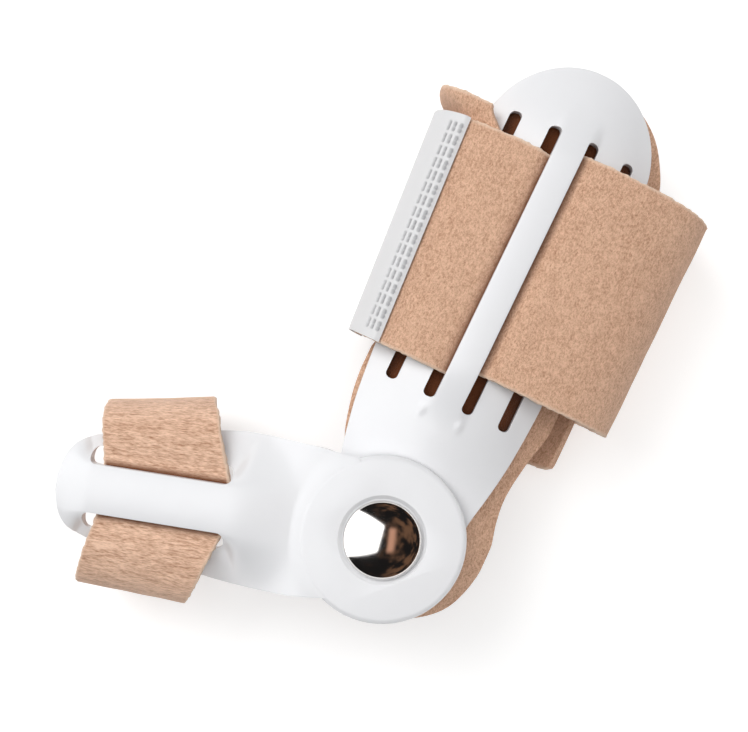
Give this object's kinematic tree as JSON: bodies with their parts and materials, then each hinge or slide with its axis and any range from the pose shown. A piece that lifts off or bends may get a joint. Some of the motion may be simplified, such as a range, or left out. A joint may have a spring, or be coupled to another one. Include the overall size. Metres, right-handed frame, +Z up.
{
  "type": "bunion corrector splint",
  "caption": "Hinged splint for the big toe: a slotted foot arm and a toe arm on a domed rivet, each with a soft strap loop, and a pad under the foot arm.",
  "frame": {"origin": "on the floor under the middle of the wide strap, at the centre of the flat patch that it rests on", "axes": "+Y along the foot arm from the hinge to its domed end, +X to the foot arm's right seen from above, +Z up"},
  "size_m": [0.103, 0.1464, 0.0387],
  "materials": {
    "white_plastic": "gloss",
    "tab_white": "matte",
    "loop_fabric": "brushed",
    "chrome": "polished"
  },
  "bodies": {
    "foot": {"foot_shell": "white_plastic", "foot_pad": "loop_fabric", "foot_strap": "loop_fabric", "hook_tab": "tab_white", "strap_tail": "loop_fabric", "hinge_rivet": "chrome"},
    "toe": {"toe_shell": "white_plastic", "toe_strap": "loop_fabric"}
  },
  "joints": [
    {"name": "toe_hinge", "type": "hinge", "parent": "foot", "child": "toe", "pos_m": [0, -0.0653, 0.0333], "axis": [0, 0, 1], "range_deg": [-15, 150]}
  ]
}
